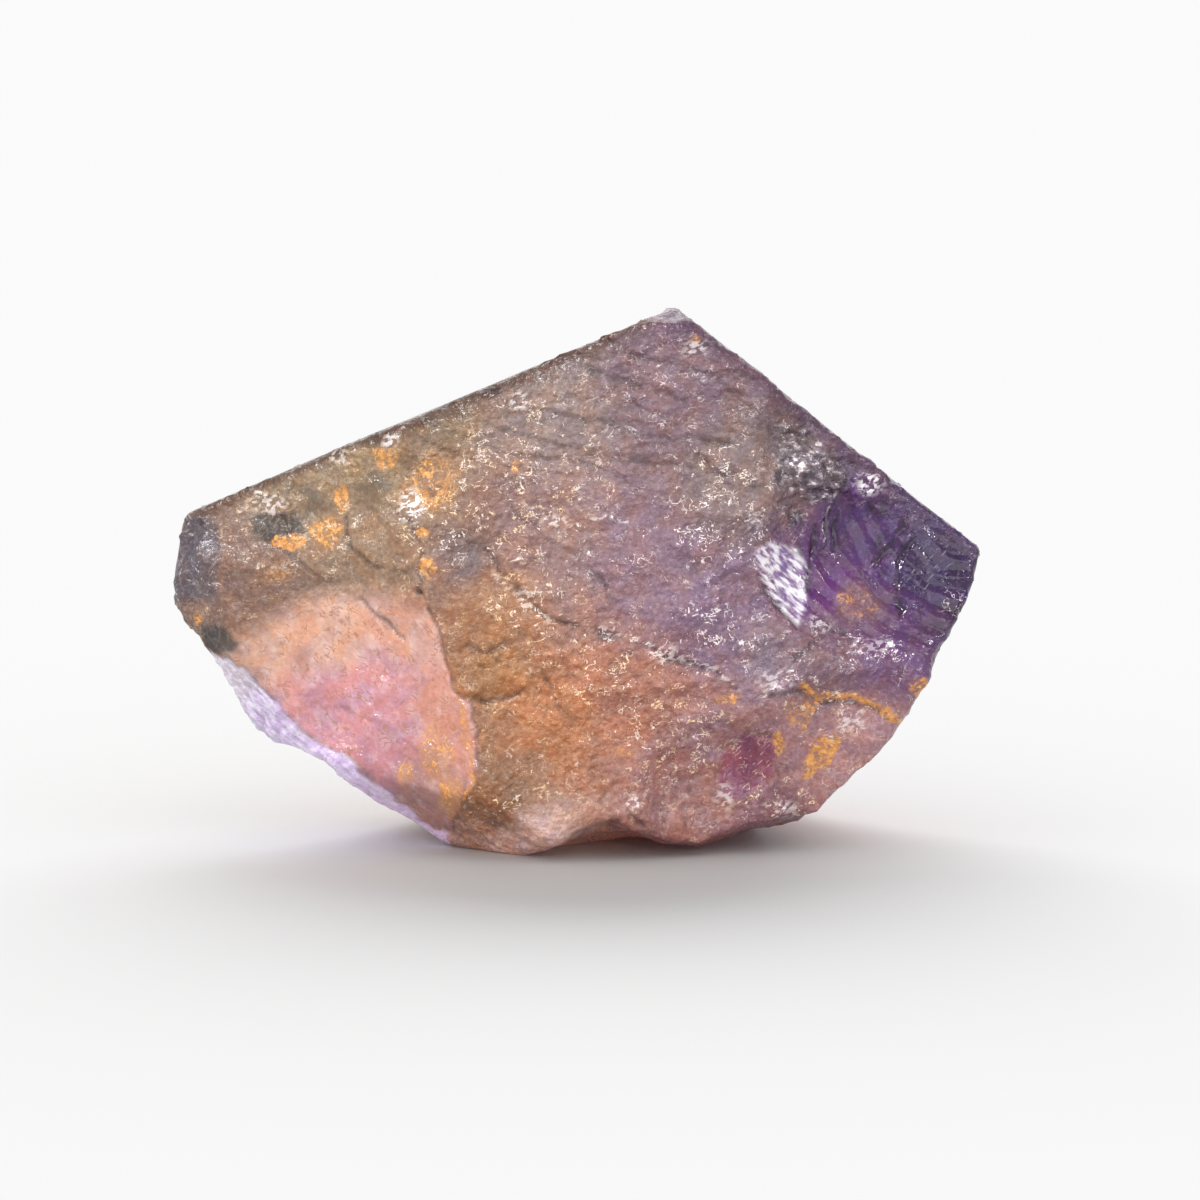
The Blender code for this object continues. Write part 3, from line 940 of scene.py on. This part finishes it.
def facet_marks(n, marks):
    """Painted highlights where the silvery, scratched, hollow and plum facets catch light, and painted shade
    where the hollow is dark.
    """
    slanting = n.noise(n.stretched(marks.spot, (0.40, 1.0, 1.8), -40.0), 0.44, 3.0)
    rising = n.noise(n.stretched(marks.spot, (0.45, 1.0, 3.0), 42.0), 0.40, 3.0)
    pitted = n.noise(n.stretched(marks.spot, (0.8, 1.0, 1.3), -20.0), 0.48, 3.0)
    light = n.most(
        n.times(marks.silver, n.ramp(slanting, 0.38, 0.60)),
        n.times(marks.scratched, n.ramp(rising, 0.56, 0.72), 0.28),
        n.times(marks.hollow, n.ramp(pitted, 0.56, 0.68), 0.9),
        n.times(marks.plum, n.ramp(rising, 0.60, 0.70), 0.7),
    )
    dark = n.times(marks.hollow, n.ramp(pitted, 0.52, 0.38), 0.9)
    return light, dark


def glint_pattern(n, marks):
    """Painted glints: short curved threads and specks, thicker in some clusters than in others."""
    spot = marks.spot
    flat_threads = n.lines(n.noise(n.stretched(spot, (0.7, 1.0, 1.5), 14.0), 0.80, 3.0, 1.2), 0.021)
    steep_threads = n.lines(n.noise(n.stretched(spot, (1.4, 1.0, 0.8), 28.0), 0.60, 3.0, 1.0), 0.023)
    flat_parts = n.ramp(n.noise(spot, 0.80, 2.0), 0.50, 0.54)
    steep_parts = n.ramp(n.noise(spot, 0.60, 2.0), 0.53, 0.57)
    specks = n.ramp(n.noise(spot, 0.16, 1.0), 0.68, 0.74)
    clusters = n.noise(spot, 1.0, 3.0)
    threads = n.most(n.times(flat_threads, flat_parts), n.times(steep_threads, steep_parts))
    threads = n.times(threads, n.ramp(clusters, 0.42, 0.54))
    specks = n.times(specks, n.ramp(clusters, 0.38, 0.60), 0.8)
    return n.times(marks.glint, n.most(threads, specks))


def white_cover(n, marks, facet_light):
    """Frosted bruises with painted highlights, the painted glints on the edges of tiny flakes, and the
    facets' painted highlights.
    """
    frost_noise = n.noise(n.stretched(marks.spot, (0.7, 1.0, 1.3), 24.0), 0.34, 4.0)
    frost_and_highlight = n.times(marks.frost_and_highlight, n.ramp(frost_noise, 0.47, 0.57))
    return n.most(n.ramp(glint_pattern(n, marks), 0.10, 0.45), frost_and_highlight, facet_light)


def whitened(n, marks, tint, white):
    """The white cover of frost, painted glints and painted highlights, which turns golden over the warm
    sectors.
    """
    red, _, blue = n.split(marks.sector)
    warm_body = n.ramp(n.math("SUBTRACT", red, blue), 0.02, 0.22, 0.15, 1.0)
    warmth = n.times(warm_body, n.ramp(marks.patches, 0.38, 0.60, 0.35, 1.0))
    tone = n.mix(warmth, PAINTED_GLINT_WHITE, PAINTED_GLINT_GOLD)
    tone = n.mix(n.most(marks.silver, marks.frost_and_highlight), tone, FROST_AND_HIGHLIGHT_WHITE)
    return n.mix(n.times(white, 0.92), tint, tone)


def rim_streaked(n, marks, tint):
    """The clear lilac rim, in its colours with painted light, with streaks along it."""
    streaks = n.noise(n.stretched(marks.spot, (0.05, 1.0, 1.5), -38.0), 0.42, 2.0)
    rim_colour = n.mix(n.ramp(streaks, 0.40, 0.66, 0.0, 0.75), marks.sector, RIM_STREAK)
    return n.mix(marks.rim, tint, rim_colour)


def finish_surface(n, shader, marks, shaded_mirror, matt):
    """Roughness, clarity and bumps. The matt cover lets no light through."""
    frosted = n.blend(marks.glossy, n.ramp(marks.grain, 0.3, 0.7, *BREAK_ROUGHNESS), SCAR_ROUGHNESS)
    smooth = n.most(n.times(marks.natural, 0.55), n.times(marks.rim, 0.9), n.times(shaded_mirror, 0.8))
    n.put(shader.inputs["Roughness"], n.blend(smooth, frosted, CLEAR_ROUGHNESS))
    clear = n.blend(marks.glossy, BREAK_CLARITY, SCAR_CLARITY)
    clear = n.blend(n.most(marks.window, marks.rim), clear, WINDOW_CLARITY)
    n.put(shader.inputs["Transmission Weight"], n.blend(matt, clear, 0.0))
    shader.inputs["IOR"].default_value = QUARTZ_IOR
    bump = n.add("ShaderNodeBump")
    n.put(bump.inputs["Height"], n.noise(marks.spot, BUMP_SPACING, 2.0))
    n.put(bump.inputs["Strength"], n.blend(n.most(marks.glossy, marks.natural), BREAK_BUMPS, SMOOTH_BUMPS))
    n.put(bump.inputs["Distance"], BUMP_HEIGHT * MM)
    n.put(shader.inputs["Normal"], bump.outputs[0])


def absorb_inside(n, output):
    inside = n.add("ShaderNodeVolumeAbsorption")
    inside.inputs["Color"].default_value = INSIDE_COLOUR
    inside.inputs["Density"].default_value = INSIDE_DENSITY
    n.put(output.inputs["Volume"], inside.outputs[0])


def stone_material():
    material = bpy.data.materials.new("rough_quartz")
    material.use_nodes = True
    n = Nodes(material.node_tree)
    shader = material.node_tree.nodes["Principled BSDF"]
    marks = Marks(n)
    stain = stain_cover(n, marks)
    facet_light, hollow_shade = facet_marks(n, marks)
    white = white_cover(n, marks, facet_light)
    # Painted shade on the dark places, which are made glossy as well
    shaded_mirror = n.times(marks.dark, n.ramp(n.noise(marks.spot, 0.45, 2.0), 0.34, 0.50))
    tint = window_marks(n, marks, mottled_body(n, marks))
    tint = whitened(n, marks, stained(n, marks, tint, stain), white)
    # Painted shade over the dark places and the dark parts of the hollow
    tint = n.mix(n.times(n.most(shaded_mirror, hollow_shade), 0.85), tint, INSIDE_SHADE, "MULTIPLY")
    n.put(shader.inputs["Base Color"], rim_streaked(n, marks, tint))
    finish_surface(n, shader, marks, shaded_mirror, n.most(n.times(stain, 0.8), n.times(marks.silver, 0.8), white))
    absorb_inside(n, material.node_tree.nodes["Material Output"])
    return material


def build_stone():
    stone = fine_copy(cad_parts[STONE_NODE])
    surface = Surface(stone.data)
    height = add_relief(stone, surface)
    store_four(stone.data, "sector", (sector_colours(surface, height), np.ones(len(height))))
    store_marks(stone, surface, height)
    stone.data.materials.append(stone_material())
    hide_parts(STONE_NODE)
    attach(stone, "root")
    return stone


def build_floor():
    bpy.ops.mesh.primitive_circle_add(vertices=96, radius=FLOOR_RADIUS, fill_type="NGON")
    floor = bpy.context.object
    floor.name = "floor"
    material = bpy.data.materials.new("pale_floor")
    material.use_nodes = True
    shader = material.node_tree.nodes["Principled BSDF"]
    shader.inputs["Base Color"].default_value = (FLOOR_WHITE, FLOOR_WHITE, FLOOR_WHITE, 1.0)
    shader.inputs["Roughness"].default_value = 0.9
    shader.inputs["Specular IOR Level"].default_value = 0.0
    floor.data.materials.append(material)
    return floor


def add_sun(name, place, angle, strength):
    """Even light from one side, as from a far panel that looks this many degrees wide."""
    light = bpy.data.lights.new(name, "SUN")
    light.angle = math.radians(angle)
    light.energy = strength
    lamp = bpy.data.objects.new(name, light)
    bpy.context.scene.collection.objects.link(lamp)
    lamp.rotation_euler = (-Vector(place)).to_track_quat("-Z", "Y").to_euler()
    return lamp


def light_studio(stone, floor):
    """An evenly lit white room, a panel for the floor's soft shadow, and lamps for the stone."""
    world = bpy.data.worlds.new("studio")
    bpy.context.scene.world = world
    world.use_nodes = True
    background = world.node_tree.nodes["Background"]
    background.inputs[0].default_value = (1.0, 1.0, 1.0, 1.0)
    background.inputs[1].default_value = ROOM_LIGHT
    receivers = {}
    for name, thing in (("stone", stone), ("floor", floor)):
        receivers[name] = bpy.data.collections.new("lit_" + name)
        receivers[name].objects.link(thing)
    for name, (place, angle, strength, lit) in SUNS.items():
        lamp = add_sun(name, place, angle, strength)
        lamp.light_linking.receiver_collection = receivers[lit]


def place_camera():
    """Looks at the broad front from a little above, as the photograph does."""
    elevation = math.radians(VIEW_ELEVATION)
    aim = Vector(VIEW_AIM) * MM
    distance = VIEW_WIDTH * MM * LENS / SENSOR
    back = Vector((0.0, -math.cos(elevation), math.sin(elevation)))
    camera = bpy.data.objects.new("camera", bpy.data.cameras.new("camera"))
    bpy.context.scene.collection.objects.link(camera)
    camera.data.lens = LENS
    camera.data.sensor_width = SENSOR
    camera.data.clip_start = 0.01
    camera.location = aim + back * distance
    camera.rotation_mode = "QUATERNION"
    camera.rotation_quaternion = (-back).to_track_quat("-Z", "Y")
    bpy.context.scene.camera = camera


light_studio(build_stone(), build_floor())
place_camera()
bpy.context.scene.view_settings.view_transform = "Standard"
